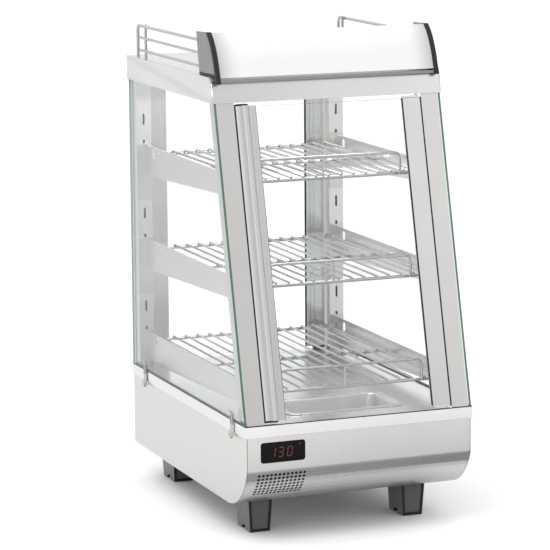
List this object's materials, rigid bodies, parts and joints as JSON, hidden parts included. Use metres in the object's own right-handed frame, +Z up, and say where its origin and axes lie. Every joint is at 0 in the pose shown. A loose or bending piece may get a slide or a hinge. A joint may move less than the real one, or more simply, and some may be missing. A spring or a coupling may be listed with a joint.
{
  "type": "hot food display case",
  "caption": "Countertop heated display case with a slanted glass front, wire shelves, hinged doors front and back, and a canopy with side rails on top.",
  "frame": {"origin": "middle of the footprint, on the counter", "axes": "+Z up; -Y towards the customer's side, where the slanted door is; +X to the customer's right"},
  "size_m": [0.361, 0.4936, 0.718],
  "materials": {
    "brushed_steel": "fine-grained stainless sheet",
    "bright_wire": "bright polished stainless",
    "door_alloy": "satin extrusion",
    "clear_glass": "clear float glass with polished green edges",
    "black_plastic": "fine-textured moulding",
    "display_window": "smooth dark moulding",
    "white_panel": "smooth white sheet",
    "dull_strip": "dull folded strip",
    "heater_sheath": "heat-darkened sheath"
  },
  "bodies": {
    "case": {"base_side_right": "brushed_steel", "base_side_left": "brushed_steel", "base_bottom": "brushed_steel", "base_front": "brushed_steel", "display_window": "display_window", "controller_box": "black_plastic", "base_rear": "brushed_steel", "power_inlet": "black_plastic", "power_switch_body": "black_plastic", "deck_tray": "brushed_steel", "foot_front_left": "black_plastic", "foot_front_right": "black_plastic", "foot_rear_left": "black_plastic", "foot_rear_right": "black_plastic", "heating_element": "heater_sheath", "rear_post_left": "brushed_steel", "rear_post_right": "brushed_steel", "front_pillar_left": "brushed_steel", "front_pillar_right": "brushed_steel", "side_glass_left": "clear_glass", "side_glass_right": "clear_glass", "bracket_low_left": "brushed_steel", "bracket_low_right": "brushed_steel", "bracket_mid_left": "brushed_steel", "bracket_mid_right": "brushed_steel", "bracket_top_left": "brushed_steel", "bracket_top_right": "brushed_steel", "top_cap": "brushed_steel", "ceiling_panel": "brushed_steel", "lamp_lens": "white_panel", "canopy_end_left": "black_plastic", "canopy_end_right": "black_plastic", "canopy_panel": "white_panel", "canopy_strip": "dull_strip", "rail_left": "bright_wire", "rail_right": "bright_wire"},
    "front_door": {"front_door_handle": "door_alloy", "front_door_cap_bottom": "black_plastic", "front_door_cap_top": "black_plastic", "front_door_stile": "door_alloy", "front_door_glass": "clear_glass", "front_door_hinge_top": "black_plastic", "front_door_hinge_bottom": "black_plastic"},
    "rear_door": {"rear_door_handle": "door_alloy", "rear_door_cap_bottom": "black_plastic", "rear_door_cap_top": "black_plastic", "rear_door_stile": "door_alloy", "rear_door_glass": "clear_glass", "rear_door_hinge_top": "black_plastic", "rear_door_hinge_bottom": "black_plastic"},
    "clip_front_left": {"clip_front_left": "bright_wire"},
    "clip_front_right": {"clip_front_right": "bright_wire"},
    "clip_rear_left": {"clip_rear_left": "bright_wire"},
    "clip_rear_right": {"clip_rear_right": "bright_wire"},
    "shelf_low": {"shelf_low": "bright_wire"},
    "shelf_mid": {"shelf_mid": "bright_wire"},
    "shelf_top": {"shelf_top": "bright_wire"},
    "water_pan": {"water_pan": "bright_wire"},
    "rocker": {"power_switch_rocker": "display_window"}
  },
  "joints": [
    {"name": "front_door_hinge", "type": "hinge", "parent": "case", "child": "front_door", "pos_m": [0.1385, -0.23852, 0.17602], "axis": [0, 0.2438, 0.9698], "range_deg": [0, 105]},
    {"name": "rear_door_hinge", "type": "hinge", "parent": "case", "child": "rear_door", "pos_m": [-0.1406, 0.2386, 0.177], "axis": [0, 0, 1], "range_deg": [0, 100]},
    {"name": "clip_front_left_hinge", "type": "hinge", "parent": "case", "child": "clip_front_left", "pos_m": [-0.1784, -0.1958, 0.156], "axis": [0, -1, 0], "range_deg": [0, 60], "stiffness_Nm_per_rad": 0.02, "springref_deg": -11.46},
    {"name": "clip_front_right_hinge", "type": "hinge", "parent": "case", "child": "clip_front_right", "pos_m": [0.1784, -0.1958, 0.156], "axis": [0, 1, 0], "range_deg": [0, 60], "stiffness_Nm_per_rad": 0.02, "springref_deg": -11.46},
    {"name": "clip_rear_left_hinge", "type": "hinge", "parent": "case", "child": "clip_rear_left", "pos_m": [-0.1784, 0.1802, 0.156], "axis": [0, -1, 0], "range_deg": [0, 60], "stiffness_Nm_per_rad": 0.02, "springref_deg": -11.46},
    {"name": "clip_rear_right_hinge", "type": "hinge", "parent": "case", "child": "clip_rear_right", "pos_m": [0.1784, 0.1802, 0.156], "axis": [0, 1, 0], "range_deg": [0, 60], "stiffness_Nm_per_rad": 0.02, "springref_deg": -11.46},
    {"name": "shelf_low_lift", "type": "slide", "parent": "case", "child": "shelf_low", "axis": [0, 0, 1], "range_m": [0, 0.02]},
    {"name": "shelf_mid_lift", "type": "slide", "parent": "case", "child": "shelf_mid", "axis": [0, 0, 1], "range_m": [0, 0.02]},
    {"name": "shelf_top_lift", "type": "slide", "parent": "case", "child": "shelf_top", "axis": [0, 0, 1], "range_m": [0, 0.02]},
    {"name": "water_pan_lift", "type": "slide", "parent": "case", "child": "water_pan", "axis": [0, 0, 1], "range_m": [0, 0.025]},
    {"name": "rocker_hinge", "type": "hinge", "parent": "case", "child": "rocker", "pos_m": [-0.062, 0.2367, 0.115], "axis": [-1, 0, 0], "range_deg": [0, 14]}
  ]
}
